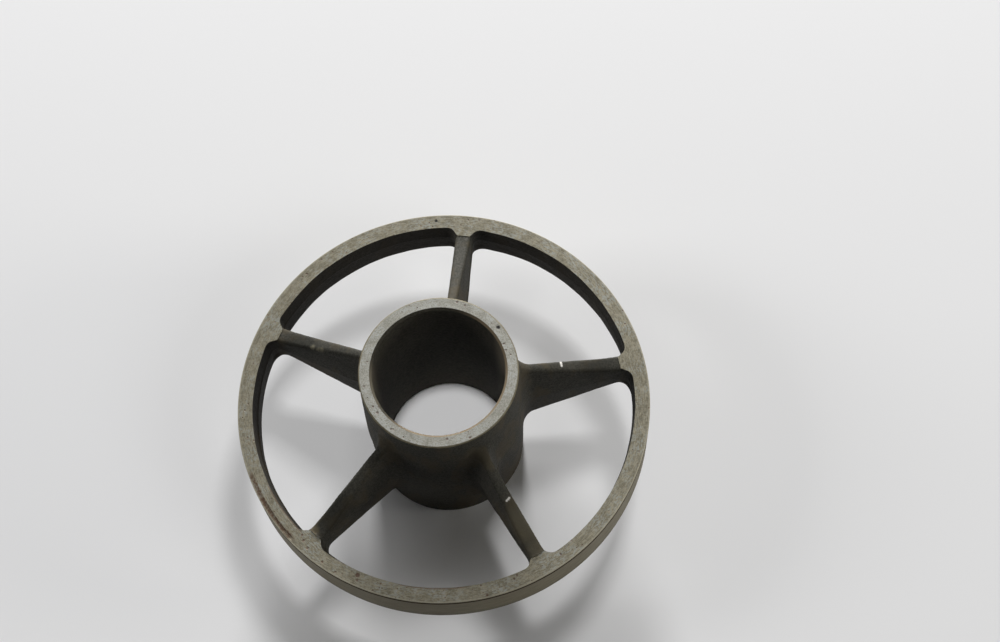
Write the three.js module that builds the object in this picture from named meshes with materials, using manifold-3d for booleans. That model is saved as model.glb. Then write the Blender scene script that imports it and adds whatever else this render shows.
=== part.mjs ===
import * as THREE from "three";
import { mergeVertices } from "three/addons/utils/BufferGeometryUtils.js";
import Module from "manifold-3d";

const wasm = await Module();
wasm.setup();

// Millimetres. The hub's axis is Z and the casting stands on the hub's lower end.
const HUB_LENGTH = 100;
const HUB_END_RADIUS = 38.1;
const HUB_WAIST_RADIUS = 39.4;
const HUB_EDGE_BREAK = 0.6;
const HUB_LOWER_EDGE_BREAK = 1.2;
const BORE_RADIUS = 31.75;
const BORE_CHAMFER = 1.1;

const RING_RADIUS = 101.6;
const RING_BACK_Z = 36;
const RING_FRONT_Z = 60.4;
const RING_FACE_INNER_RADIUS = 94.3;
const RING_WAIST_INNER_RADIUS = 93.3;
const RING_BACK_INNER_RADIUS = 93.7;
const RING_BACK_EDGE_WIDTH = 1.2;
const RING_BACK_EDGE_HEIGHT = 2.6;
const RING_EDGE_BREAK = 0.5;
const LINE_GROOVE_FROM_FACE = 0.7;
const LINE_GROOVE_WIDTH = 2.2;
const LINE_GROOVE_DEPTH = 0.6;
const LINE_GROOVE_SLOPE = 0.5;
const WAIST_Z = 50.3;
const WAIST_FLAT_HALF = 0.8;

const SPOKE_COUNT = 5;
const SPOKE_HUB_RADIUS = 40;
const SPOKE_RING_RADIUS = 88;
const SPOKE_START_RADIUS = 35;
const SPOKE_END_RADIUS = 97.5;
const SPOKE_FRONT_AT_HUB = 81.5;
const SPOKE_FRONT_AT_RING = 59.7;
const SPOKE_BACK_AT_HUB = 21.4;
const SPOKE_BACK_AT_RING = 39.1;
const SPOKE_FRONT_HALF_AT_HUB = 2.05;
const SPOKE_FRONT_HALF_AT_RING = 3.85;
const SPOKE_CORNER = 1.3;
const SPOKE_CROWN = 0.25;
const SPOKE_BACK_HALF_AT_HUB = 3.2;
const SPOKE_BACK_HALF_AT_RING = 3.9;
const SPOKE_WAIST_HALF_AT_HUB = 5.2;
const SPOKE_WAIST_HALF_AT_RING = 4.1;
const HUB_FILLET = 6;
const RING_FILLET = 5;
const PAD_FILLET = 8;
const PAD_INNER_RADIUS = 88.4;
const FILLET_SHARE = 0.85;

const RING_SEGMENTS = 150;
const HUB_SEGMENTS = 90;
const SPOKE_STATIONS = 20;
const CAP_STEPS = 6;
const CORNER_STEPS = 3;

function solidFrom(geometry) {
  const plain = new THREE.BufferGeometry();
  plain.setAttribute("position", geometry.getAttribute("position").clone());
  if (geometry.index) {
    plain.setIndex(geometry.index.clone());
  }
  const merged = mergeVertices(plain, 1e-4);
  return new wasm.Manifold(
    new wasm.Mesh({
      numProp: 3,
      vertProperties: new Float32Array(merged.attributes.position.array),
      triVerts: new Uint32Array(merged.index.array),
    }),
  );
}

// A body turned about Z from a closed outline of (radius, height) corners, listed anticlockwise.
function turned(corners, segments) {
  const outline = corners.map(([r, z]) => new THREE.Vector2(r, z));
  outline.push(outline[0].clone());
  const lathe = new THREE.LatheGeometry(outline, segments);
  lathe.rotateX(Math.PI / 2);
  return solidFrom(lathe);
}

function mix(a, b, t) {
  return a + (b - a) * t;
}

// The extra thickness a round fillet gives at a distance from the wall it runs into.
function filletRise(distance, radius) {
  const d = Math.min(Math.max(distance, 0), radius);
  const across = radius - d;
  return radius - Math.sqrt(radius * radius - across * across);
}

// Points on an arc of a section, from one angle to another, in quarter turns.
function arc(y, z, radius, from, to, steps) {
  const points = [];
  for (let i = 0; i <= steps; i++) {
    const a = (Math.PI / 2) * mix(from, to, i / steps);
    points.push([y + radius * Math.cos(a), z + radius * Math.sin(a)]);
  }
  return points;
}

// One section of a spoke: a crowned front edge, a round back edge, widest at the parting plane.
function spokeSection(r) {
  const t = (r - SPOKE_HUB_RADIUS) / (SPOKE_RING_RADIUS - SPOKE_HUB_RADIUS);
  const fromHub = r - HUB_WAIST_RADIUS;
  const fromRing = RING_WAIST_INNER_RADIUS - r;
  const side = filletRise(fromHub, HUB_FILLET) + filletRise(fromRing, RING_FILLET);
  const reach = filletRise(fromHub, HUB_FILLET) + filletRise(fromRing, PAD_FILLET);
  const frontHalf = mix(SPOKE_FRONT_HALF_AT_HUB, SPOKE_FRONT_HALF_AT_RING, t) + side * FILLET_SHARE;
  const backHalf = mix(SPOKE_BACK_HALF_AT_HUB, SPOKE_BACK_HALF_AT_RING, t) + side * FILLET_SHARE;
  const waist = mix(SPOKE_WAIST_HALF_AT_HUB, SPOKE_WAIST_HALF_AT_RING, t) + side;
  const front = mix(SPOKE_FRONT_AT_HUB, SPOKE_FRONT_AT_RING, t) + reach;
  const back = mix(SPOKE_BACK_AT_HUB, SPOKE_BACK_AT_RING, t) - reach;
  const cornerY = frontHalf - SPOKE_CORNER;
  const cornerZ = front - SPOKE_CROWN - SPOKE_CORNER;
  return [
    ...arc(cornerY, cornerZ, SPOKE_CORNER, 0, 1, CORNER_STEPS),
    [0, front],
    ...arc(-cornerY, cornerZ, SPOKE_CORNER, 1, 2, CORNER_STEPS),
    [-waist, WAIST_Z],
    ...arc(0, back + backHalf, backHalf, 2, 4, CAP_STEPS),
    [waist, WAIST_Z],
  ];
}

// Stations crowd towards both ends, where the fillets are.
function stationRadius(i) {
  const u = i / (SPOKE_STATIONS - 1);
  const eased = 0.5 - 0.5 * Math.cos(Math.PI * u);
  return mix(SPOKE_START_RADIUS, SPOKE_END_RADIUS, mix(u, eased, 0.75));
}

function spoke() {
  const positions = [];
  const index = [];
  let count = 0;
  for (let i = 0; i < SPOKE_STATIONS; i++) {
    const r = stationRadius(i);
    const section = spokeSection(r);
    count = section.length;
    for (const [y, z] of section) {
      positions.push(r, y, z);
    }
  }
  for (let i = 0; i + 1 < SPOKE_STATIONS; i++) {
    for (let j = 0; j < count; j++) {
      const k = (j + 1) % count;
      const a = i * count + j;
      const b = i * count + k;
      const c = a + count;
      const d = b + count;
      index.push(a, b, d);
      index.push(a, d, c);
    }
  }
  const last = (SPOKE_STATIONS - 1) * count;
  for (let j = 1; j + 1 < count; j++) {
    index.push(0, j + 1, j);
    index.push(last, last + j, last + j + 1);
  }
  const geometry = new THREE.BufferGeometry();
  geometry.setAttribute("position", new THREE.Float32BufferAttribute(positions, 3));
  geometry.setIndex(index);
  const made = solidFrom(geometry);
  if (made.volume() > 0) {
    return made;
  }
  for (let i = 0; i < index.length; i += 3) {
    const keep = index[i + 1];
    index[i + 1] = index[i + 2];
    index[i + 2] = keep;
  }
  geometry.setIndex(index);
  return solidFrom(geometry);
}

function ring() {
  const grooveTop = RING_FRONT_Z - LINE_GROOVE_FROM_FACE;
  const grooveBottom = grooveTop - LINE_GROOVE_WIDTH;
  const grooveRadius = RING_RADIUS - LINE_GROOVE_DEPTH;
  return turned(
    [
      [RING_BACK_INNER_RADIUS + RING_BACK_EDGE_WIDTH, RING_BACK_Z],
      [RING_RADIUS - RING_EDGE_BREAK, RING_BACK_Z],
      [RING_RADIUS, RING_BACK_Z + RING_EDGE_BREAK],
      [RING_RADIUS, grooveBottom],
      [grooveRadius, grooveBottom + LINE_GROOVE_SLOPE],
      [grooveRadius, grooveTop - LINE_GROOVE_SLOPE],
      [RING_RADIUS, grooveTop],
      [RING_RADIUS, RING_FRONT_Z - 0.2],
      [RING_RADIUS - 0.2, RING_FRONT_Z],
      [RING_FACE_INNER_RADIUS, RING_FRONT_Z],
      [RING_WAIST_INNER_RADIUS, WAIST_Z + WAIST_FLAT_HALF],
      [RING_WAIST_INNER_RADIUS, WAIST_Z - WAIST_FLAT_HALF],
      [RING_BACK_INNER_RADIUS, RING_BACK_Z + RING_BACK_EDGE_HEIGHT],
    ],
    RING_SEGMENTS,
  );
}

function hub() {
  return turned(
    [
      [BORE_RADIUS - 6, 0],
      [HUB_END_RADIUS - HUB_LOWER_EDGE_BREAK, 0],
      [HUB_END_RADIUS, HUB_LOWER_EDGE_BREAK],
      [HUB_WAIST_RADIUS, WAIST_Z],
      [HUB_END_RADIUS, HUB_LENGTH - HUB_EDGE_BREAK],
      [HUB_END_RADIUS - HUB_EDGE_BREAK, HUB_LENGTH],
      [BORE_RADIUS - 6, HUB_LENGTH],
    ],
    HUB_SEGMENTS,
  );
}

// The bore with its chamfer at both ends, as a cutter.
function boreCutter() {
  const mouth = BORE_RADIUS + BORE_CHAMFER;
  return turned(
    [
      [0, -2],
      [mouth + 2, -2],
      [mouth, 0],
      [BORE_RADIUS, BORE_CHAMFER],
      [BORE_RADIUS, HUB_LENGTH - BORE_CHAMFER],
      [mouth, HUB_LENGTH],
      [mouth + 2, HUB_LENGTH + 2],
      [0, HUB_LENGTH + 2],
    ],
    HUB_SEGMENTS,
  );
}

// A washer that faces the spoke roots flush with the ring.
function facingCutter(low, high) {
  return turned(
    [
      [PAD_INNER_RADIUS, low],
      [RING_RADIUS + 4, low],
      [RING_RADIUS + 4, high],
      [PAD_INNER_RADIUS, high],
    ],
    RING_SEGMENTS,
  );
}

function spokes() {
  const one = spoke();
  const all = [];
  for (let i = 0; i < SPOKE_COUNT; i++) {
    all.push(one.rotate([0, 0, (360 / SPOKE_COUNT) * i]));
  }
  return wasm.Manifold.union(all);
}

function meshFrom(solid, name, material) {
  const data = solid.getMesh();
  const width = data.numProp;
  const corners = new Float32Array(data.numVert * 3);
  for (let i = 0; i < data.numVert; i++) {
    corners[i * 3] = data.vertProperties[i * width];
    corners[i * 3 + 1] = data.vertProperties[i * width + 1];
    corners[i * 3 + 2] = data.vertProperties[i * width + 2];
  }
  const geometry = new THREE.BufferGeometry();
  geometry.setAttribute("position", new THREE.BufferAttribute(corners, 3));
  geometry.setIndex(new THREE.BufferAttribute(data.triVerts, 1));
  geometry.computeVertexNormals();
  const mesh = new THREE.Mesh(geometry, material);
  mesh.name = name;
  return mesh;
}

const castIron = new THREE.MeshStandardMaterial({
  color: 0x5d5b54,
  roughness: 0.7,
  metalness: 0.6,
});

const rough = wasm.Manifold.union([ring(), hub(), spokes()]);
const faced = rough
  .subtract(facingCutter(RING_FRONT_Z, RING_FRONT_Z + 8))
  .subtract(facingCutter(RING_BACK_Z - 8, RING_BACK_Z));
const casting = faced.subtract(boreCutter());

const part = new THREE.Group();
part.name = "spider";
part.add(meshFrom(casting, "spider_casting", castIron));

export default part;
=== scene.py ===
import math

import bmesh
import bpy
import numpy as np
from mathutils import Matrix, Vector


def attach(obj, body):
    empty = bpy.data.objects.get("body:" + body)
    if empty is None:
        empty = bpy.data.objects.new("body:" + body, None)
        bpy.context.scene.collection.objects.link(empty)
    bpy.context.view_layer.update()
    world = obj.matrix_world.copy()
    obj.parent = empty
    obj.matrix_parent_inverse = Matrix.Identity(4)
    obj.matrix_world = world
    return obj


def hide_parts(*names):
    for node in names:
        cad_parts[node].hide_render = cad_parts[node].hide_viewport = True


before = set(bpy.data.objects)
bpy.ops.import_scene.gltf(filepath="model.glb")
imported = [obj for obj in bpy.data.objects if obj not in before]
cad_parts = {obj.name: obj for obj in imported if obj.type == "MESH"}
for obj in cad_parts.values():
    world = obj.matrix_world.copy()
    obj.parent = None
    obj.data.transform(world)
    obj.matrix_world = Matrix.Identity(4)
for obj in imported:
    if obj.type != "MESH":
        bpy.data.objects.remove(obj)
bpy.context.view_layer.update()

# Sizes are in millimetres, as in the CAD part. Angles are in degrees round the hub's axis, from +X.
MM = 0.001

HUB_LENGTH = 100.0
HUB_END_RADIUS = 38.1
HUB_WAIST_RADIUS = 39.4
HUB_EDGE_BREAK = 0.6
HUB_LOWER_EDGE_BREAK = 1.2
BORE_RADIUS = 31.75
BORE_CHAMFER = 1.1

RING_RADIUS = 101.6
RING_BACK_Z = 36.0
RING_FRONT_Z = 60.4
RING_FACE_INNER_RADIUS = 94.3
RING_WAIST_INNER_RADIUS = 93.3
RING_BACK_INNER_RADIUS = 93.5
RING_BACK_EDGE_ROUND = 5.2
RING_EDGE_BREAK = 0.5
RING_FRONT_EDGE_BREAK = 0.2
LINE_GROOVE_FROM_FACE = 0.7
LINE_GROOVE_WIDTH = 2.2
LINE_GROOVE_DEPTH = 0.6
LINE_GROOVE_SLOPE = 0.5
WAIST_Z = 50.3

SPOKE_COUNT = 5
SPOKE_HUB_RADIUS = 40.0
SPOKE_RING_RADIUS = 88.0
SPOKE_END_RADIUS = 95.5
SPOKE_INNERMOST_RADIUS = 30.4
SPOKE_FRONT_AT_HUB = 81.5
SPOKE_FRONT_AT_RING = 59.7
SPOKE_BACK_AT_HUB = 21.4
SPOKE_BACK_AT_RING = 39.1
SPOKE_FRONT_HALF_AT_HUB = 2.05
SPOKE_FRONT_HALF_AT_RING = 3.85
SPOKE_CORNER = 1.3
SPOKE_CROWN = 0.25
SPOKE_BACK_HALF_AT_HUB = 3.2
SPOKE_BACK_HALF_AT_RING = 3.9
SPOKE_WAIST_HALF_AT_HUB = 5.2
SPOKE_WAIST_HALF_AT_RING = 4.1
SPOKE_SWEEP_START = 76.0
HUB_FILLET = 6.0
RING_FILLET = 5.0
BACK_FILLET = 9.0
BACK_FILLET_BELOW_WAIST = (6.0, 11.5)

# Where the flat pad at the root of each spoke ends, spoke by spoke from the one along +X.
PAD_ENDS = (89.2, 90.2, 90.2, 91.2, 91.1)
PAD_CORNER = 1.6
PAD_STEP_FILLET = 0.5
PAD_STOCK = 0.4
PAD_CUT_BEFORE_END = 0.2

# What the foundry left on the faces that were turned afterwards.
FACE_STOCK = 2.0
BORE_STOCK = 3.0

# The sand mould's two halves met at the waist, slightly off each other.
MOULD_SHIFT = (0.60, 0.90)
MOULD_STEP = 0.9
PARTING_RIDGE = 0.20
HUB_PARTING_RIDGE = 0.08
PARTING_FADE = 8.0
PARTING_WIDTH = 0.7

# Slow unevenness of the sand mould's surface: its height, then each wavelength with its weight.
SKIN_WAVE = 0.10
SKIN_WAVES = ((34.0, 1.0), (21.0, 0.8), (13.0, 0.6), (8.0, 0.45), (5.5, 0.3))
WAVES_OF_EACH = 3
SKIN_SEED = 7

# The grid that the raw casting is sampled on, finer by the waist, and how its points settle on the surface.
GRID_STEP = 1.0
GRID_MARGIN = 2.0
FINE_STEP = 0.5
FINE_REACH = 3.0
JUST_INSIDE = 0.001
SLOPE_REACH = 0.05
LEAST_SLOPE_SQUARED = 0.25
PULL_ROUNDS = 3
LONGEST_PULL = 0.4

# The cutters: their steps round the axis, and how far they reach past what they cut.
RING_STEPS = 480
HUB_STEPS = 240
RING_CUTTER_BEYOND = 14.0
RING_CUTTER_OUTSIDE = 10.0
HUB_CUTTER_BEYOND = 8.0
HUB_CUTTER_OUTSIDE = 20.0
HUB_EDGE_CUT_START = 0.4
HUB_LOWER_EDGE_CUT_START = 1.0

# A low place in the ring's face, by its outer edge, that the facing cut didn't clean up. Its profile
# gives the share of the depth at two shares of the width.
GOUGE_START = 192.0
GOUGE_END = 212.3
GOUGE_FADE_IN = 9.0
GOUGE_FADE_OUT = 0.7
GOUGE_INNER_RADIUS = 99.2
GOUGE_OUTER_RADIUS = 100.9
GOUGE_DEPTH = 0.28
GOUGE_PROFILE = ((0.25, 0.8), (0.8, 1.0))
GOUGE_RIPPLE = 0.07
GOUGE_RIPPLE_PERIODS = (7.1, 3.3, 1.7)
GOUGE_SEED = 3


def mix(a, b, t):
    return a + (b - a) * t


def smooth_step(low, high, value):
    t = np.clip((value - low) / (high - low), 0.0, 1.0)
    return t * t * (3.0 - 2.0 * t)


# The raw casting, as a distance field


def fillet_union(a, b, radius):
    """Joins two distance fields, with a round fillet in the corner between them."""
    corner = np.hypot(np.maximum(radius - a, 0.0), np.maximum(radius - b, 0.0))
    return np.maximum(radius, np.minimum(a, b)) - corner


def hub_field(radius, z):
    above = (z - WAIST_Z) / (HUB_LENGTH - WAIST_Z)
    below = (WAIST_Z - z) / WAIST_Z
    outside = mix(HUB_WAIST_RADIUS, HUB_END_RADIUS, np.maximum(above, below))
    ends = np.maximum(-FACE_STOCK - z, z - HUB_LENGTH - FACE_STOCK)
    return np.maximum(radius - outside, ends)


def rounded_edge(a, b, radius):
    """The solid inside both a and b, with a round edge where they meet."""
    corner = np.hypot(np.maximum(a + radius, 0.0), np.maximum(b + radius, 0.0))
    return np.minimum(np.maximum(a, b), -radius) + corner


def ring_field(radius, z):
    above = (z - WAIST_Z) / (RING_FRONT_Z - WAIST_Z)
    below = (WAIST_Z - z) / (WAIST_Z - RING_BACK_Z)
    front = mix(RING_WAIST_INNER_RADIUS, RING_FACE_INNER_RADIUS, above)
    back = mix(RING_WAIST_INNER_RADIUS, RING_BACK_INNER_RADIUS, below)
    inside = np.where(z > WAIST_Z, front, back)
    wall = rounded_edge(inside - radius, RING_BACK_Z - FACE_STOCK - z, RING_BACK_EDGE_ROUND)
    top = z - RING_FRONT_Z - FACE_STOCK
    return np.maximum(np.maximum(wall, top), radius - RING_RADIUS - FACE_STOCK)


def spoke_share(along):
    """How far out along a spoke: 0 at the hub and 1 at the ring."""
    outwards = np.maximum(along, SPOKE_INNERMOST_RADIUS) - SPOKE_HUB_RADIUS
    return outwards / (SPOKE_RING_RADIUS - SPOKE_HUB_RADIUS)


def spoke_front(share):
    return mix(SPOKE_FRONT_AT_HUB, SPOKE_FRONT_AT_RING, share)


def spoke_field(along, across, z, pad_end):
    """A web with a crowned front edge and a round back edge, widest at the waist, and the distance from its
    sides alone. The front edge sweeps up to the ring's face where the pad ends."""
    share = spoke_share(along)
    front_half = mix(SPOKE_FRONT_HALF_AT_HUB, SPOKE_FRONT_HALF_AT_RING, share)
    back_half = mix(SPOKE_BACK_HALF_AT_HUB, SPOKE_BACK_HALF_AT_RING, share)
    waist = mix(SPOKE_WAIST_HALF_AT_HUB, SPOKE_WAIST_HALF_AT_RING, share)
    sweep = np.maximum(along - SPOKE_SWEEP_START, 0.0) / (pad_end - SPOKE_SWEEP_START)
    front = spoke_front(share) + (RING_FRONT_Z - spoke_front(spoke_share(pad_end))) * sweep ** 2
    back = mix(SPOKE_BACK_AT_HUB, SPOKE_BACK_AT_RING, share) + back_half
    width = np.abs(across)

    rise = np.clip((z - WAIST_Z) / (front - WAIST_Z), 0.0, 1.2)
    upper_side = width - mix(waist, front_half, rise)
    top = z - front + SPOKE_CROWN * (across / front_half) ** 2
    upper = rounded_edge(upper_side, top, SPOKE_CORNER)

    fall = np.clip((WAIST_Z - z) / (WAIST_Z - back), 0.0, 1.0)
    lower_side = width - mix(waist, back_half, fall)
    lower = np.where(z < back, np.hypot(across, back - z) - back_half, lower_side)

    field = np.maximum(np.where(z > WAIST_Z, upper, lower), along - SPOKE_END_RADIUS)
    return field, np.where(z > WAIST_Z, upper_side, lower_side)


def pad_field(along, beside, z, end):
    """The raised root of a spoke, as wide as the spoke and as high as the ring."""
    outline = rounded_edge(beside, end - along, PAD_CORNER)
    height = np.maximum(z - RING_FRONT_Z - PAD_STOCK, WAIST_Z - z)
    return np.maximum(np.maximum(outline, height), along - SPOKE_END_RADIUS)


def skin_waves(x, y, z):
    """Slow unevenness of a sand-cast surface, between about -1 and 1."""
    rng = np.random.default_rng(SKIN_SEED)
    total = np.zeros_like(x)
    for wavelength, weight in SKIN_WAVES:
        for _ in range(WAVES_OF_EACH):
            direction = rng.normal(size=3)
            direction *= 2.0 * math.pi / (wavelength * np.linalg.norm(direction))
            phase = rng.uniform(0.0, 2.0 * math.pi)
            crests = np.sin(direction[0] * x + direction[1] * y + direction[2] * z + phase)
            total += weight / WAVES_OF_EACH * crests
    return total


def casting_field(x, y, z):
    """Signed distance to the raw casting, negative inside, in millimetres."""
    drag = smooth_step(WAIST_Z + MOULD_STEP, WAIST_Z - MOULD_STEP, z)
    moved_x = x - MOULD_SHIFT[0] * drag
    moved_y = y - MOULD_SHIFT[1] * drag
    radius = np.hypot(moved_x, moved_y)
    pitch = 2.0 * math.pi / SPOKE_COUNT
    turn = np.arctan2(moved_y, moved_x)
    number = np.round(turn / pitch)
    turn = turn - pitch * number
    along = radius * np.cos(turn)
    pad_end = np.take(PAD_ENDS, number.astype(int) % SPOKE_COUNT)
    spoke, beside = spoke_field(along, radius * np.sin(turn), z, pad_end)
    pad = pad_field(along, beside, z, pad_end)
    ring = ring_field(radius, z)
    hub_radius = np.hypot(x, y)
    hub = hub_field(hub_radius, z)

    solid = fillet_union(hub, fillet_union(spoke, pad, PAD_STEP_FILLET), HUB_FILLET)
    ring_fillet = mix(RING_FILLET, BACK_FILLET, smooth_step(*BACK_FILLET_BELOW_WAIST, WAIST_Z - z))
    solid = fillet_union(solid, ring, ring_fillet)
    off_hub = smooth_step(HUB_WAIST_RADIUS, HUB_WAIST_RADIUS + PARTING_FADE, radius)
    ridge = mix(HUB_PARTING_RIDGE, PARTING_RIDGE, off_hub)
    solid = solid - ridge * np.exp(-((z - WAIST_Z) / PARTING_WIDTH) ** 2)
    past_end = np.maximum(-z, z - HUB_LENGTH)
    solid = solid + SKIN_WAVE * np.clip(1.0 - past_end, 0.0, 1.0) * skin_waves(x, y, z)
    return np.maximum(solid, BORE_RADIUS - BORE_STOCK - hub_radius)


def untangled(field):
    """The sampled field with a sample turned inwards wherever four neighbours form a chequerboard of inside
    and outside, so that the surface never touches itself along an edge."""
    field = field.copy()
    for axis in range(3):
        side, other = [k for k in range(3) if k != axis]
        here = field < 0.0
        beside = np.roll(here, -1, side)
        above = np.roll(here, -1, other)
        across = np.roll(beside, -1, other)
        crossed = (here == across) & (beside == above) & (here != beside)
        field[crossed & ~here] = -JUST_INSIDE
        field[np.roll(crossed & here, 1, side)] = -JUST_INSIDE
    return field


def zero_surface(field, axes):
    """Points and four-sided faces where a field sampled on a grid changes sign: one point in each cell that
    it crosses."""
    inside = field < 0.0
    sizes = np.array(field.shape) - 1
    offsets = np.array([(i, j, k) for i in (0, 1) for j in (0, 1) for k in (0, 1)])
    count = np.zeros(sizes, np.int8)
    for i, j, k in offsets:
        count += inside[i:i + sizes[0], j:j + sizes[1], k:k + sizes[2]]
    crossed = (count > 0) & (count < len(offsets))
    cells = np.argwhere(crossed)
    number = np.full(sizes, -1, np.int64)
    number[crossed] = np.arange(len(cells))

    values = np.stack([field[tuple((cells + offset).T)] for offset in offsets], axis=1)
    total = np.zeros((len(cells), 3))
    hits = np.zeros(len(cells))
    for a in range(len(offsets)):
        for b in range(a + 1, len(offsets)):
            if np.abs(offsets[a] - offsets[b]).sum() != 1:
                continue
            cut = (values[:, a] < 0.0) != (values[:, b] < 0.0)
            share = values[cut, a] / (values[cut, a] - values[cut, b])
            total[cut] += offsets[a] + share[:, None] * (offsets[b] - offsets[a])
            hits[cut] += 1
    places = cells + total / hits[:, None]
    columns = [np.interp(places[:, k], np.arange(len(axes[k])), axes[k]) for k in range(3)]
    points = np.stack(columns, axis=1)

    faces = []
    for axis in range(3):
        side, other = [k for k in range(3) if k != axis]
        low = np.take(inside, range(sizes[axis]), axis)
        high = np.take(inside, range(1, sizes[axis] + 1), axis)
        for start in (True, False):
            edges = np.argwhere((low == start) & (high != start))
            keep = (edges[:, side] > 0) & (edges[:, side] < sizes[side])
            keep &= (edges[:, other] > 0) & (edges[:, other] < sizes[other])
            edges = edges[keep]
            ring = []
            for back_side, back_other in ((1, 1), (0, 1), (0, 0), (1, 0)):
                cell = edges.copy()
                cell[:, side] -= back_side
                cell[:, other] -= back_other
                ring.append(number[tuple(cell.T)])
            quad = np.stack(ring, axis=1)
            turned_over = start == (axis == 1)
            faces.append(quad[:, ::-1] if turned_over else quad)
    return points, np.concatenate(faces)


def slope_of(field, points):
    slope = np.empty_like(points)
    for axis in range(3):
        step = np.zeros(3)
        step[axis] = SLOPE_REACH
        slope[:, axis] = (field(*(points + step).T) - field(*(points - step).T)) / (2.0 * SLOPE_REACH)
    return slope


def pulled_onto(field, points):
    """The points moved along the field's slope until they lie on its zero surface."""
    for _ in range(PULL_ROUNDS):
        slope = slope_of(field, points)
        squared = np.maximum((slope ** 2).sum(axis=1), LEAST_SLOPE_SQUARED)
        move = -(field(*points.T) / squared)[:, None] * slope
        points = points + np.clip(move, -LONGEST_PULL, LONGEST_PULL)
    return points


def levels_from_waist(reach):
    """Distances from the waist to the grid's levels, close together at first, to just past the reach."""
    fine = np.arange(FINE_STEP / 2, FINE_REACH, FINE_STEP)
    coarse = np.arange(fine[-1] + GRID_STEP, reach + FACE_STOCK + GRID_MARGIN, GRID_STEP)
    return np.concatenate([fine, coarse])


def raw_casting():
    span = math.ceil(RING_RADIUS + FACE_STOCK) + GRID_MARGIN
    flat = np.arange(-span, span + GRID_STEP / 2, GRID_STEP)
    above = levels_from_waist(HUB_LENGTH - WAIST_Z)
    below = levels_from_waist(WAIST_Z)
    axes = (flat, flat, WAIST_Z + np.concatenate([-below[::-1], above]))
    field = untangled(casting_field(*np.meshgrid(*axes, indexing="ij")))
    points, faces = zero_surface(field, axes)
    return mesh_object("raw_casting", pulled_onto(casting_field, points), faces)


# Meshes


def mesh_object(name, points, faces, slots=None):
    mesh = bpy.data.meshes.new(name)
    mesh.from_pydata((np.asarray(points) * MM).tolist(), [], [list(map(int, face)) for face in faces])
    if slots is not None:
        mesh.polygons.foreach_set("material_index", np.asarray(slots, np.int32))
    mesh.update()
    thing = bpy.data.objects.new(name, mesh)
    bpy.context.scene.collection.objects.link(thing)
    return thing


def turned(name, outlines, slots, closed):
    """A body of revolution. outlines holds one list of (radius, height) corners for each step round the
    axis, and slots the material of the band after each corner. An open outline gets a flat cap at both
    ends."""
    steps, corners = outlines.shape[:2]
    angle = np.arange(steps) * (2.0 * math.pi / steps)
    radius = outlines[..., 0]
    x = radius * np.cos(angle)[:, None]
    y = radius * np.sin(angle)[:, None]
    points = np.stack([x, y, outlines[..., 1]], axis=-1).reshape(-1, 3)
    faces = []
    face_slots = []
    for i in range(steps):
        here = i * corners
        following = (i + 1) % steps * corners
        for j in range(corners if closed else corners - 1):
            k = (j + 1) % corners
            faces.append((here + j, following + j, following + k, here + k))
            face_slots.append(slots[j])
    if not closed:
        faces.append([i * corners for i in range(steps)][::-1])
        faces.append([i * corners + corners - 1 for i in range(steps)])
        face_slots += [slots[0], slots[-1]]
    return mesh_object(name, points, faces, face_slots)


# Material slots, in the order of MATERIALS.
SKIN, FACE, BAND, BORE, HUB_FACE = range(5)

# A turned face counts as a wall when its normal leans less than this out of the level.
WALL_TILT = 0.2


def gouge_depth(angle):
    """How far below the face the gouge lies, at each angle in degrees."""
    rng = np.random.default_rng(GOUGE_SEED)
    start = smooth_step(GOUGE_START, GOUGE_START + GOUGE_FADE_IN, angle)
    end = smooth_step(GOUGE_END, GOUGE_END - GOUGE_FADE_OUT, angle)
    ripple = np.ones_like(angle)
    for period in GOUGE_RIPPLE_PERIODS:
        ripple += GOUGE_RIPPLE * np.sin(2.0 * math.pi * (angle / period + rng.uniform()))
    return GOUGE_DEPTH * start * end * ripple


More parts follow.
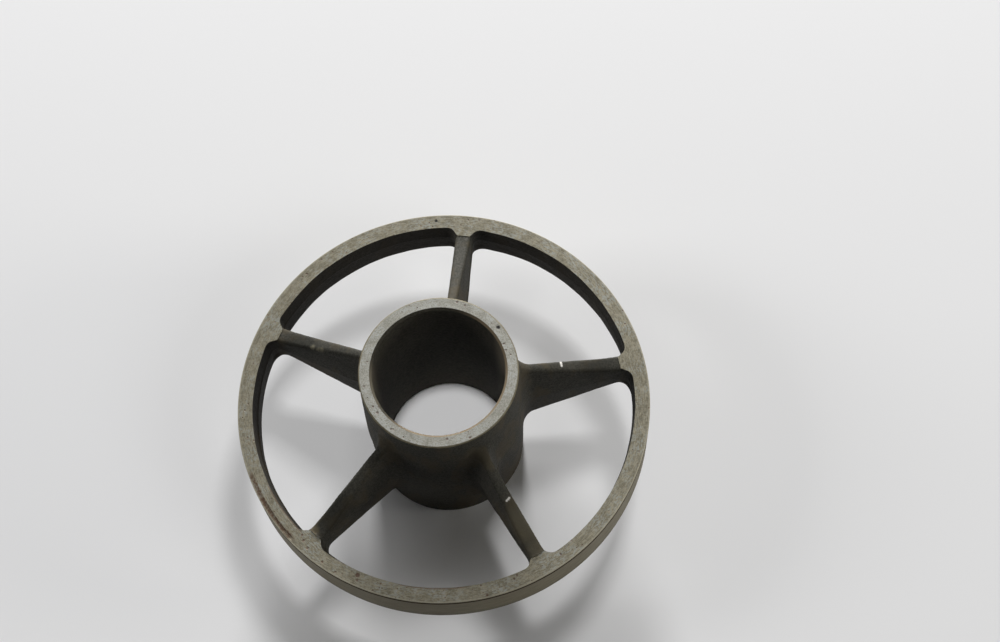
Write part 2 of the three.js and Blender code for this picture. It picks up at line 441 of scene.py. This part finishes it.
def ring_cutter():
    """Everything that turning took off the ring: a channel round its front, outside and back."""
    top = RING_FRONT_Z + RING_CUTTER_BEYOND
    bottom = RING_BACK_Z - RING_CUTTER_BEYOND
    outer = RING_RADIUS + RING_CUTTER_OUTSIDE
    groove_top = RING_FRONT_Z - LINE_GROOVE_FROM_FACE
    groove_bottom = groove_top - LINE_GROOVE_WIDTH
    groove_radius = RING_RADIUS - LINE_GROOVE_DEPTH
    angle = np.arange(RING_STEPS) * (360.0 / RING_STEPS)
    dip = gouge_depth(angle)
    gouge = [
        (mix(GOUGE_INNER_RADIUS, GOUGE_OUTER_RADIUS, width), RING_FRONT_Z - dip * depth, FACE)
        for width, depth in GOUGE_PROFILE
    ]
    nearest = np.round(angle / (360.0 / SPOKE_COUNT)).astype(int) % SPOKE_COUNT
    inner = np.take(PAD_ENDS, nearest) - PAD_CUT_BEFORE_END
    outline = [
        (inner, top, FACE),
        (inner, RING_FRONT_Z, FACE),
        (GOUGE_INNER_RADIUS, RING_FRONT_Z, FACE),
        *gouge,
        (GOUGE_OUTER_RADIUS, RING_FRONT_Z, FACE),
        (RING_RADIUS - RING_FRONT_EDGE_BREAK, RING_FRONT_Z, BAND),
        (RING_RADIUS, RING_FRONT_Z - RING_FRONT_EDGE_BREAK, BAND),
        (RING_RADIUS, groove_top, BAND),
        (groove_radius, groove_top - LINE_GROOVE_SLOPE, BAND),
        (groove_radius, groove_bottom + LINE_GROOVE_SLOPE, BAND),
        (RING_RADIUS, groove_bottom, BAND),
        (RING_RADIUS, WAIST_Z, BAND),
        (RING_RADIUS, RING_BACK_Z + RING_EDGE_BREAK, BAND),
        (RING_RADIUS - RING_EDGE_BREAK, RING_BACK_Z, FACE),
        (inner, RING_BACK_Z, FACE),
        (inner, bottom, FACE),
        (outer, bottom, FACE),
        (outer, top, FACE),
    ]
    corners = [np.stack(np.broadcast_arrays(r, z, angle)[:2], axis=-1) for r, z, _ in outline]
    slots = [slot for _, _, slot in outline]
    return turned("ring_cutter", np.stack(corners, axis=1), slots, closed=True)


def hub_cutter():
    """The bore with its chamfers, and what turning took off both ends of the hub."""
    mouth = BORE_RADIUS + BORE_CHAMFER
    clear = HUB_END_RADIUS + HUB_CUTTER_OUTSIDE
    lower_cut = HUB_LOWER_EDGE_BREAK + HUB_LOWER_EDGE_CUT_START
    upper_cut = HUB_LENGTH - HUB_EDGE_BREAK - HUB_EDGE_CUT_START
    outline = [
        (clear, -HUB_CUTTER_BEYOND, HUB_FACE),
        (clear, lower_cut, HUB_FACE),
        (HUB_END_RADIUS + HUB_LOWER_EDGE_CUT_START, lower_cut, BAND),
        (HUB_END_RADIUS - HUB_LOWER_EDGE_BREAK, 0.0, HUB_FACE),
        (mouth, 0.0, BAND),
        (BORE_RADIUS, BORE_CHAMFER, BORE),
        (BORE_RADIUS, HUB_LENGTH - BORE_CHAMFER, BORE),
        (mouth, HUB_LENGTH, HUB_FACE),
        (HUB_END_RADIUS - HUB_EDGE_BREAK, HUB_LENGTH, BAND),
        (HUB_END_RADIUS + HUB_EDGE_CUT_START, upper_cut, HUB_FACE),
        (clear, upper_cut, HUB_FACE),
        (clear, HUB_LENGTH + HUB_CUTTER_BEYOND, HUB_FACE),
    ]
    corners = np.array([(r, z) for r, z, _ in outline])
    outlines = np.broadcast_to(corners, (HUB_STEPS,) + corners.shape)
    return turned("hub_cutter", outlines, [slot for _, _, slot in outline], closed=False)


def faced_outwards(thing):
    """Turns all faces the same way, with the normals pointing out of the solid."""
    work = bmesh.new()
    work.from_mesh(thing.data)
    bmesh.ops.recalc_face_normals(work, faces=work.faces)
    work.to_mesh(thing.data)
    work.free()


def machined(casting, cutters):
    for thing in [casting] + cutters:
        faced_outwards(thing)
        for material in MATERIALS:
            thing.data.materials.append(material)
    for cutter in cutters:
        step = casting.modifiers.new(cutter.name, "BOOLEAN")
        step.operation = "DIFFERENCE"
        step.solver = "MANIFOLD"
        step.object = cutter
    graph = bpy.context.evaluated_depsgraph_get()
    mesh = bpy.data.meshes.new_from_object(casting.evaluated_get(graph))
    made = bpy.data.objects.new("spider", mesh)
    bpy.context.scene.collection.objects.link(made)
    for thing in [casting] + cutters:
        bpy.data.objects.remove(thing)
    return made


def shade(thing):
    """Shading normals: the casting's own slope on cast skin, straight out from the axis on turned walls,
    and flat elsewhere."""
    mesh = thing.data
    mesh.shade_smooth()
    points = np.empty(len(mesh.vertices) * 3)
    mesh.vertices.foreach_get("co", points)
    points = points.reshape(-1, 3) / MM
    corner_point = np.empty(len(mesh.loops), np.int32)
    mesh.loops.foreach_get("vertex_index", corner_point)
    count = len(mesh.polygons)
    sides = np.empty(count, np.int32)
    slots = np.empty(count, np.int32)
    flat = np.empty(count * 3)
    mesh.polygons.foreach_get("loop_total", sides)
    mesh.polygons.foreach_get("material_index", slots)
    mesh.polygons.foreach_get("normal", flat)
    normals = np.repeat(flat.reshape(-1, 3), sides, axis=0)
    cast = np.repeat(slots, sides) == SKIN
    slope = slope_of(casting_field, points)
    slope /= np.linalg.norm(slope, axis=1, keepdims=True)
    wall = ~cast & (np.abs(normals[:, 2]) < WALL_TILT)
    outward = points[corner_point] * (1.0, 1.0, 0.0)
    outward /= np.linalg.norm(outward, axis=1, keepdims=True)
    outward *= np.sign((outward * normals).sum(axis=1, keepdims=True))
    normals[wall] = outward[wall]
    normals[cast] = slope[corner_point[cast]]
    mesh.normals_split_custom_set(normals.tolist())


# Finishes


class Finish:
    """A material and short ways to add nodes to it. Its coordinates are the part's own, in millimetres."""

    def __init__(self, name):
        self.material = bpy.data.materials.new(name)
        self.material.use_nodes = True
        self.tree = self.material.node_tree
        self.shader = self.tree.nodes["Principled BSDF"]
        coordinates = self.add("ShaderNodeTexCoord")
        scaled = self.add("ShaderNodeVectorMath", operation="SCALE")
        self.feed(scaled.inputs[0], coordinates.outputs["Object"])
        scaled.inputs["Scale"].default_value = 1.0 / MM
        self.place = scaled.outputs[0]
        self.x, self.y, self.z = self.parts_of(self.place)
        squares = [self.math("POWER", part, 2.0) for part in (self.x, self.y)]
        self.radius = self.math("SQRT", self.math("ADD", *squares))
        self.facing_front = self.parts_of(coordinates.outputs["Normal"])[2]

    def add(self, kind, **settings):
        node = self.tree.nodes.new(kind)
        for key, value in settings.items():
            setattr(node, key, value)
        return node

    def feed(self, socket, value):
        if isinstance(value, bpy.types.NodeSocket):
            self.tree.links.new(value, socket)
        else:
            socket.default_value = value

    def parts_of(self, vector):
        node = self.add("ShaderNodeSeparateXYZ")
        self.feed(node.inputs[0], vector)
        return node.outputs

    def math(self, operation, a, b=None, c=None):
        node = self.add("ShaderNodeMath", operation=operation)
        for socket, value in zip(node.inputs, (a, b, c)):
            if value is not None:
                self.feed(socket, value)
        return node.outputs[0]

    def noise_at(self, place, scale, detail, rough):
        node = self.add("ShaderNodeTexNoise")
        node.inputs["Scale"].default_value = scale
        node.inputs["Detail"].default_value = detail
        node.inputs["Roughness"].default_value = rough
        self.feed(node.inputs["Vector"], place)
        return node.outputs["Fac"]

    def noise(self, size, detail=3.0, rough=0.55, stretch=None):
        """Cloudy noise between 0 and 1 whose patches are about size millimetres across."""
        place = self.place
        if stretch is not None:
            scaled = self.add("ShaderNodeVectorMath", operation="MULTIPLY")
            self.feed(scaled.inputs[0], self.place)
            scaled.inputs[1].default_value = stretch
            place = scaled.outputs[0]
        return self.noise_at(place, 1.0 / size, detail, rough)

    def streaks(self, size, stretch, detail=3.0, rough=0.6):
        """Noise drawn out round the hub's axis, as turning leaves it: size millimetres across and stretch
        times as long."""
        reach = RING_RADIUS / (size * stretch)
        place = self.add("ShaderNodeCombineXYZ")
        for socket, part in zip(place.inputs, (self.x, self.y)):
            self.feed(socket, self.math("MULTIPLY", self.math("DIVIDE", part, self.radius), reach))
        self.feed(place.inputs[2], self.math("DIVIDE", self.math("ADD", self.radius, self.z), size))
        return self.noise_at(place.outputs[0], 1.0, detail, rough)

    def turning(self, pitch, along):
        """Fine rings that a lathe tool leaves, from -1 to 1. along is the radius on a face and the height
        on a wall."""
        wander = self.math("MULTIPLY", self.noise(9.0, 2.0), 1.6)
        turns = self.math("MULTIPLY", self.math("ADD", along, wander), 2.0 * math.pi / pitch)
        return self.math("SINE", turns)

    def range(self, value, low, high, start=0.0, end=1.0):
        """value taken smoothly from low..high to start..end."""
        node = self.add("ShaderNodeMapRange", interpolation_type="SMOOTHSTEP")
        names = ("Value", "From Min", "From Max", "To Min", "To Max")
        for name, number in zip(names, (value, low, high, start, end)):
            self.feed(node.inputs[name], number)
        return node.outputs[0]

    def wobble(self, noise, width):
        """The noise turned into a push of up to half the width either way."""
        return self.math("MULTIPLY", self.math("SUBTRACT", noise, 0.5), width)

    def spots(self, places, soft=0.35, ragged=0.9):
        """1 inside each of some round marks, given as (place, radius), and 0 outside them, with soft and
        ragged edges."""
        wobble = self.wobble(self.noise(0.9, 2.0), ragged)
        total = 0.0
        for place, radius in places:
            node = self.add("ShaderNodeVectorMath", operation="DISTANCE")
            self.feed(node.inputs[0], self.place)
            node.inputs[1].default_value = place
            away = self.math("ADD", node.outputs["Value"], wobble)
            total = self.math("MAXIMUM", self.range(away, radius + soft, radius - soft), total)
        return total

    def lines(self, places, ragged=0.5):
        """1 on thin lines round the axis, given as (radius, width, first angle, last angle), and 0 off
        them. Both ends fade over a few degrees."""
        fade = 3.0
        radius = self.math("ADD", self.radius, self.wobble(self.noise(2.5, 4.0, 0.7), ragged))
        angle = self.math("MULTIPLY", self.math("ARCTAN2", self.y, self.x), 180.0 / math.pi)
        total = 0.0
        for place, width, first, last in places:
            off = self.math("ABSOLUTE", self.math("SUBTRACT", radius, place))
            along = self.math("ABSOLUTE", self.math("SUBTRACT", angle, (first + last) / 2.0))
            half = (last - first) / 2.0
            ends = self.range(along, half, half - fade)
            line = self.math("MULTIPLY", self.range(off, width * 0.7, width * 0.3), ends)
            total = self.math("MAXIMUM", line, total)
        return total

    def specks(self, spacing, size, share):
        """Small scattered dots, up to size across, in clusters: 1 on a dot and 0 elsewhere."""
        node = self.add("ShaderNodeTexVoronoi", feature="F1")
        node.inputs["Scale"].default_value = 1.0 / spacing
        self.feed(node.inputs["Vector"], self.place)
        parts = self.add("ShaderNodeSeparateColor")
        self.feed(parts.inputs[0], node.outputs["Color"])
        reach = size / 2.0 / spacing
        distance = self.math("MULTIPLY_ADD", parts.outputs[1], reach * 0.5, node.outputs["Distance"])
        dot = self.range(distance, reach * 1.3, reach * 0.7)
        wanted = self.range(self.noise(spacing * 6.0, 1.0), 0.40, 0.60, 0.0, share * 2.0)
        return self.math("MULTIPLY", dot, self.math("LESS_THAN", parts.outputs[0], wanted))

    def blend(self, share, a, b):
        """The colour a where share is 0 and b where it is 1."""
        node = self.add("ShaderNodeMix", data_type="RGBA")
        self.feed(node.inputs["Factor"], share)
        for name, value in (("A", a), ("B", b)):
            socket = next(s for s in node.inputs if s.name == name and s.type == "RGBA")
            self.feed(socket, value if isinstance(value, bpy.types.NodeSocket) else (*value, 1.0))
        return next(s for s in node.outputs if s.type == "RGBA")

    def done(self, colour, roughness, metallic, height, gloss=0.5):
        """Feeds the shader. The height is in millimetres and goes in as bump."""
        self.feed(self.shader.inputs["Base Color"], colour)
        self.feed(self.shader.inputs["Roughness"], roughness)
        self.shader.inputs["Metallic"].default_value = metallic
        self.shader.inputs["Specular IOR Level"].default_value = gloss
        bump = self.add("ShaderNodeBump")
        bump.inputs["Distance"].default_value = MM
        self.feed(bump.inputs["Height"], height)
        self.tree.links.new(bump.outputs[0], self.shader.inputs["Normal"])
        return self.material


# Colours, linear red, green and blue
RUST = (0.080, 0.036, 0.023)
PIT = (0.012, 0.010, 0.008)

RING_FACE_COLOURS = ((0.134, 0.121, 0.083), (0.262, 0.238, 0.172), (0.262, 0.270, 0.244))
HUB_FACE_COLOURS = ((0.215, 0.207, 0.172), (0.355, 0.348, 0.306), (0.370, 0.382, 0.366))
# Wear and a painted highlight on the face's outer edge.
FACE_EDGE_WORN_AND_HIGHLIGHT = (0.360, 0.338, 0.262)
GOUGE_BROWN = (0.084, 0.050, 0.030)

BAND_DARK = (0.142, 0.125, 0.080)
BAND_PALE = (0.212, 0.189, 0.126)
BAND_BROWN = (0.125, 0.093, 0.052)
# Painted shade along the rim's lower edge.
BAND_LOW_SHADE = (0.040, 0.034, 0.022)
# Dirt and painted shade in the line groove.
GROOVE_DIRT_AND_SHADE = (0.046, 0.035, 0.021)
# Wear and a painted highlight on the lip below the face.
LIP_WORN_AND_HIGHLIGHT = (0.380, 0.350, 0.265)

SKIN_DARK = (0.030, 0.029, 0.023)
SKIN_PALE = (0.060, 0.057, 0.046)
SKIN_BROWN = (0.064, 0.053, 0.034)
# The colour of the painted shade on what faces away from the front, and of the darker ring wall.
SKIN_SHADE_AND_WALL_DARK = (0.012, 0.009, 0.006)

BORE_DARK = (0.036, 0.033, 0.025)
BORE_PALE = (0.064, 0.058, 0.045)
# Painted light on the bore's two sides.
BORE_SIDE_LIGHT = (0.150, 0.132, 0.098)
# Tan painted light on the bore's upper chamfer.
BORE_MOUTH_LIGHT = (0.205, 0.160, 0.105)

# Single marks that show in the photograph, as (place, radius), in millimetres.
FACE_RUST = [
    ((-79.8, -52.2, RING_FRONT_Z), 0.55),
    ((-79.5, -55.0, RING_FRONT_Z), 0.60),
    ((-78.3, -59.1, RING_FRONT_Z), 0.60),
    ((-72.7, -67.4, RING_FRONT_Z), 0.55),
    ((-67.3, -73.6, RING_FRONT_Z), 0.50),
    ((-57.3, -77.4, RING_FRONT_Z), 1.10),
    ((-58.0, -79.7, RING_FRONT_Z), 0.60),
    ((0.6, -100.3, RING_FRONT_Z), 0.60),
    ((38.9, -88.7, RING_FRONT_Z), 0.55),
    ((16.4, -93.9, RING_FRONT_Z), 0.50),
]
FACE_PITS = [((15.9, 97.1, RING_FRONT_Z), 0.75)]
HUB_RUST = [
    ((-33.4, -10.6, HUB_LENGTH), 0.50),
    ((-32.0, -14.0, HUB_LENGTH), 0.55),
    ((-2.7, -34.0, HUB_LENGTH), 0.50),
    ((7.8, -35.7, HUB_LENGTH), 0.55),
    ((-27.3, -23.4, HUB_LENGTH), 0.50),
    ((33.5, 3.4, HUB_LENGTH), 0.45),
    ((33.1, 6.8, HUB_LENGTH), 0.45),
    ((15.8, 33.0, HUB_LENGTH), 0.50),
    ((19.2, 30.3, HUB_LENGTH), 0.45),
]
HUB_PITS = [((32.3, 15.6, HUB_LENGTH), 0.95)]

# Lines and bands round the ring's face, as (radius, width, first angle, last angle).
FACE_LINES = [
    (94.7, 0.8, -167.0, -146.0),
    (94.6, 0.7, -116.0, -93.0),
    (93.0, 0.7, -21.0, -9.0),
]
BROWN_BANDS = [
    (100.1, 2.0, -172.0, -148.0),
    (99.9, 2.4, -153.0, -146.5),
]

# Painted shade: darker spots on the outer ends of the spokes at 0, 144 and -144 degrees.
SPOKE_PAINTED_SHADE = [
    ((77.5, 0.0, 64.5), 9.0),
    ((-62.7, 45.6, 64.5), 8.0),
    ((-62.7, -45.6, 64.5), 11.0),
]
# Painted light: paler spots on the spoke at -72 degrees, out towards the ring.
SPOKE_PAINTED_LIGHT = [
    ((23.5, -72.3, 65.0), 9.0),
    ((27.4, -83.4, 60.8), 5.0),
]
SPOKE_TAN = [
    ((-73.3, -51.4, 60.2), 2.3),
]
SPOKE_WORN = [
    ((-54.3, 35.3, 70.2), 1.7),
    ((-55.9, 36.4, 69.4), 1.6),
    ((-57.9, 39.1, 67.9), 1.3),
]
SPOKE_CHIPS = [
    ((59.7, 2.3, 71.7), 0.70),
    ((59.7, 1.3, 72.4), 0.70),
    ((59.7, 0.3, 72.6), 0.60),
    ((19.1, -60.3, 70.8), 0.55),
    ((19.9, -59.9, 71.0), 0.60),
    ((20.6, -59.4, 71.2), 0.55),
]

# The marks on the spokes, painted shade and light among them, from the lowest layer up: places, softness,
# raggedness, strength and colour.
SPOKE_MARKS = [
    # Painted shade first, then painted light.
    (SPOKE_PAINTED_SHADE, 5.0, 5.0, 0.50, (0.014, 0.014, 0.011)),
    (SPOKE_PAINTED_LIGHT, 5.0, 5.0, 0.70, (0.100, 0.088, 0.060)),
    (SPOKE_TAN, 1.0, 3.0, 0.55, (0.125, 0.105, 0.065)),
    (SPOKE_WORN, 0.7, 2.6, 0.60, (0.190, 0.175, 0.120)),
    (SPOKE_CHIPS, 0.25, 0.9, 1.00, (0.620, 0.600, 0.560)),
]


def turned_face(name, colours, rust_marks, pit_marks, rust_lines=(), brown_bands=()):
    """A faced surface in three colours, dark, pale and cool: mottled, with fine scratches round the axis,
    flecks, rust specks and a worn outer edge with a painted highlight."""
    dark, pale, cool = colours
    f = Finish(name)
    clouds = f.math("MULTIPLY", f.noise(4.5, 3.0), 0.2)
    mottle = f.math("MULTIPLY_ADD", f.noise(0.8, 3.0, 0.6), 0.35, clouds)
    tone = f.range(f.math("MULTIPLY_ADD", f.streaks(0.35, 9.0), 0.45, mottle), 0.40, 0.60)
    colour = f.blend(tone, dark, pale)
    cooler = f.range(f.noise(9.0, 3.0, 0.6), 0.40, 0.62, 0.15, 0.9)
    cool_flecks = f.range(f.streaks(0.7, 2.5, 2.0), 0.46, 0.60)
    colour = f.blend(f.math("MULTIPLY", cooler, cool_flecks), colour, cool)
    dark_flecks = f.range(f.noise(0.8, 2.0, 0.6), 0.60, 0.70, 0.0, 0.5)
    colour = f.blend(dark_flecks, colour, dark)
    # The outer edge is worn and carries a painted highlight.
    edge = f.range(f.radius, RING_RADIUS - 0.75, RING_RADIUS - 0.45, 0.0, 0.55)
    colour = f.blend(edge, colour, FACE_EDGE_WORN_AND_HIGHLIGHT)

    rust = f.math("MAXIMUM", f.specks(6.0, 1.4, 0.28), f.spots(rust_marks))
    rust = f.math("MAXIMUM", f.specks(2.4, 0.85, 0.45), rust)
    rust = f.math("MAXIMUM", rust, f.math("MULTIPLY", f.lines(rust_lines), 0.7))
    colour = f.blend(f.math("MULTIPLY", rust, 0.75), colour, RUST)
    patchy = f.range(f.noise(1.3, 3.0), 0.35, 0.58, 0.45, 1.0)
    brown = f.math("MULTIPLY", f.lines(brown_bands, 1.8), patchy)
    colour = f.blend(brown, colour, GOUGE_BROWN)
    pits = f.spots(pit_marks)
    colour = f.blend(pits, colour, PIT)

    hollows = f.math("MULTIPLY", f.math("MAXIMUM", rust, pits), -0.12)
    height = f.math("MULTIPLY_ADD", tone, 0.02, hollows)
    return f.done(colour, f.range(tone, 0.0, 1.0, 0.62, 0.50), 0.3, height, gloss=0.3)


def turned_band():
    """The ring's rim and the broken edges: turned too, olive with age, with painted shade low down, dirt
    and painted shade in the line groove, and a worn lip above it that carries a painted highlight."""
    f = Finish("turned_band")
    grit = f.streaks(0.6, 14.0, 4.0)
    colour = f.blend(f.range(grit, 0.3, 0.7), BAND_DARK, BAND_PALE)
    brown = f.range(f.streaks(3.5, 5.0), 0.45, 0.70, 0.0, 0.35)
    colour = f.blend(brown, colour, BAND_BROWN)
    # Painted shade: the rim darkens towards its lower edge.
    height_on_rim = f.math("ADD", f.z, f.math("MULTIPLY", f.noise(9.0), 5.0))
    low_shade = f.range(height_on_rim, RING_BACK_Z + 8.0, RING_BACK_Z)
    colour = f.blend(f.math("MULTIPLY", low_shade, 0.6), colour, BAND_LOW_SHADE)

    groove_top = RING_FRONT_Z - LINE_GROOVE_FROM_FACE
    groove_bottom = groove_top - LINE_GROOVE_WIDTH
    over_bottom = f.range(f.z, groove_bottom - 0.10, groove_bottom + 0.05)
    under_top = f.range(f.z, groove_top + 0.02, groove_top - 0.12)
    in_groove = f.math("MULTIPLY", over_bottom, under_top)
    # Dirt and painted shade in the line groove.
    colour = f.blend(f.math("MULTIPLY", in_groove, 0.92), colour, GROOVE_DIRT_AND_SHADE)
    # The lip is worn and carries a painted highlight.
    lip = f.range(f.z, RING_FRONT_Z - 0.80, RING_FRONT_Z - 0.65, 0.0, 0.8)
    lip = f.math("MULTIPLY", lip, f.math("LESS_THAN", f.z, RING_FRONT_Z + 1.0))
    colour = f.blend(lip, colour, LIP_WORN_AND_HIGHLIGHT)
    height = f.math("MULTIPLY_ADD", f.turning(0.45, f.z), 0.006, f.math("MULTIPLY", grit, 0.03))
    return f.done(colour, 0.6, 0.2, height, gloss=0.2)


def cast_skin():
    """Sand-cast iron left as cast: near black, browner in patches, painted shade on what faces away from
    the front, darker on the ring's inner wall, and the marks on the spokes, painted shade and light among
    them."""
    f = Finish("cast_skin")
    grain = f.noise(0.9, 5.0, 0.7)
    colour = f.blend(f.range(grain, 0.35, 0.65), SKIN_DARK, SKIN_PALE)
    patches = f.range(f.noise(11.0, 4.0, stretch=(1.0, 1.0, 0.45)), 0.46, 0.62, 0.0, 0.8)
    colour = f.blend(patches, colour, SKIN_BROWN)
    # Painted shade: what faces away from the front is darkened.
    painted_underside_shade = f.range(f.facing_front, 0.05, -0.20, 0.0, 0.60)
    # The ring's inner wall is darkened too.
    wall = RING_WAIST_INNER_RADIUS
    on_ring_wall = f.range(f.radius, wall - 4.0, wall - 0.5, 0.0, 0.72)
    colour = f.blend(f.math("MAXIMUM", painted_underside_shade, on_ring_wall), colour, SKIN_SHADE_AND_WALL_DARK)
    for places, soft, ragged, strength, tint in SPOKE_MARKS:
        share = f.math("MULTIPLY", f.spots(places, soft, ragged), strength)
        colour = f.blend(share, colour, tint)
    height = f.math("MULTIPLY_ADD", f.noise(2.2, 2.0), 0.22, f.math("MULTIPLY", grain, 0.10))
    return f.done(colour, f.range(grain, 0.3, 0.7, 0.80, 0.66), 0.0, height, gloss=0.14)


def bore_wall():
    """The bore: turned once, now dark with old grease, with painted light on two sides and tan painted
    light on part of the upper chamfer."""
    f = Finish("bore_wall")
    grit = f.streaks(0.8, 6.0, 4.0)
    colour = f.blend(f.range(grit, 0.35, 0.65), BORE_DARK, BORE_PALE)
    # Painted light on the bore's wall where it lies along +X and -X.
    sideways = f.math("ABSOLUTE", f.math("DIVIDE", f.x, f.radius))
    painted_side_light = f.range(sideways, 0.90, 0.985, 0.0, 0.6)
    colour = f.blend(painted_side_light, colour, BORE_SIDE_LIGHT)
    # Tan painted light on the near side of the upper chamfer.
    on_chamfer = f.math("GREATER_THAN", f.z, HUB_LENGTH - BORE_CHAMFER + 0.05)
    near_side = f.range(f.math("SUBTRACT", f.x, f.y), -18.0, 12.0, 0.0, 0.9)
    colour = f.blend(f.math("MULTIPLY", on_chamfer, near_side), colour, BORE_MOUTH_LIGHT)
    height = f.math("MULTIPLY_ADD", f.turning(0.6, f.z), 0.004, f.math("MULTIPLY", grit, 0.03))
    return f.done(colour, 0.7, 0.0, height, gloss=0.06)


MATERIALS = [
    cast_skin(),
    turned_face("turned_face", RING_FACE_COLOURS, FACE_RUST, FACE_PITS, FACE_LINES, BROWN_BANDS),
    turned_band(),
    bore_wall(),
    turned_face("hub_face", HUB_FACE_COLOURS, HUB_RUST, HUB_PITS),
]


# Floor, light and camera


# The rest is in metres, watts and degrees.
FLOOR_REACH = 6.0
FLOOR_COLOUR = (0.75, 0.75, 0.755)
WORLD_STRENGTH = 0.01

LAMP_DISTANCE = 3.0
LAMP_TARGET = (0.0, 0.0, 0.05)
WHITE = (1.0, 1.0, 1.0)
WARM = (1.0, 0.97, 0.90)

# Each lamp's name, turn from +X, rise above the floor, size, power and colour.
LAMPS = [
    ("above", 55.0, 60.0, 0.55, 31.0, WHITE),
    ("low_behind", 80.0, 13.0, 0.55, 150.0, WHITE),
    ("left", 165.0, 28.0, 1.0, 25.0, WHITE),
    ("low_right", 345.0, 15.0, 0.8, 21.0, WARM),
    ("right_front", 320.0, 40.0, 1.2, 13.0, WHITE),
]

BORE_LAMP_HEIGHT = 1.5
BORE_LAMP_POWER = 56.0
BORE_LAMP_SIZE = 0.004
BORE_LAMP_BLEND = 0.3
BORE_LAMP_MARGIN = 0.001

# The camera's place and the point it looks at are in millimetres, like the part.
CAMERA_PLACE = (-12.811, -312.885, 891.057)
CAMERA_TARGET = (36.176, 35.259, 60.4)
CAMERA_ROLL = -4.549
CAMERA_LENS = 64.8
CAMERA_SENSOR = 36.0


def floor():
    mesh = bpy.data.meshes.new("floor")
    corners = [(FLOOR_REACH * x, FLOOR_REACH * y, 0.0) for x, y in ((-1, -1), (1, -1), (1, 1), (-1, 1))]
    mesh.from_pydata(corners, [], [(0, 1, 2, 3)])
    thing = bpy.data.objects.new("floor", mesh)
    bpy.context.scene.collection.objects.link(thing)
    material = bpy.data.materials.new("pale_floor")
    material.use_nodes = True
    shader = material.node_tree.nodes["Principled BSDF"]
    shader.inputs["Base Color"].default_value = (*FLOOR_COLOUR, 1.0)
    shader.inputs["Roughness"].default_value = 0.9
    shader.inputs["Specular IOR Level"].default_value = 0.1
    mesh.materials.append(material)
    return thing


def lamp(name, turn, rise, size, power, colour):
    """A square soft lamp that looks at the part."""
    turn = math.radians(turn)
    rise = math.radians(rise)
    level = math.cos(rise)
    ahead = Vector((level * math.cos(turn), level * math.sin(turn), math.sin(rise)))
    data = bpy.data.lights.new(name, "AREA")
    data.shape = "SQUARE"
    data.size = size
    data.energy = power
    data.color = colour
    light = bpy.data.objects.new(name, data)
    light.location = Vector(LAMP_TARGET) + LAMP_DISTANCE * ahead
    light.rotation_euler = (-ahead).to_track_quat("-Z", "Y").to_euler()
    bpy.context.scene.collection.objects.link(light)


def through_bore():
    """A narrow lamp straight above that lights only the floor inside the bore."""
    reach = BORE_RADIUS * MM - BORE_LAMP_MARGIN
    data = bpy.data.lights.new("through_bore", "SPOT")
    data.energy = BORE_LAMP_POWER
    data.spot_size = 2.0 * math.atan(reach / (BORE_LAMP_HEIGHT - HUB_LENGTH * MM))
    data.spot_blend = BORE_LAMP_BLEND
    data.shadow_soft_size = BORE_LAMP_SIZE
    light = bpy.data.objects.new("through_bore", data)
    light.location = (0.0, 0.0, BORE_LAMP_HEIGHT)
    bpy.context.scene.collection.objects.link(light)


def soft_light():
    world = bpy.data.worlds.new("studio")
    bpy.context.scene.world = world
    world.use_nodes = True
    world.node_tree.nodes["Background"].inputs["Strength"].default_value = WORLD_STRENGTH
    bpy.context.scene.view_settings.view_transform = "Standard"
    for settings in LAMPS:
        lamp(*settings)
    through_bore()


def camera():
    data = bpy.data.cameras.new("camera")
    data.sensor_width = CAMERA_SENSOR
    data.lens = CAMERA_LENS
    data.clip_start = 0.01
    thing = bpy.data.objects.new("camera", data)
    place = Vector(CAMERA_PLACE) * MM
    ahead = Vector(CAMERA_TARGET) * MM - place
    aim = ahead.to_track_quat("-Z", "Y").to_matrix().to_4x4()
    roll = Matrix.Rotation(math.radians(CAMERA_ROLL), 4, "Z")
    thing.matrix_world = Matrix.Translation(place) @ aim @ roll
    bpy.context.scene.collection.objects.link(thing)
    bpy.context.scene.camera = thing


# The scene

spider = machined(raw_casting(), [ring_cutter(), hub_cutter()])
shade(spider)
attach(spider, "root")
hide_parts("spider_casting")
floor()
soft_light()
camera()
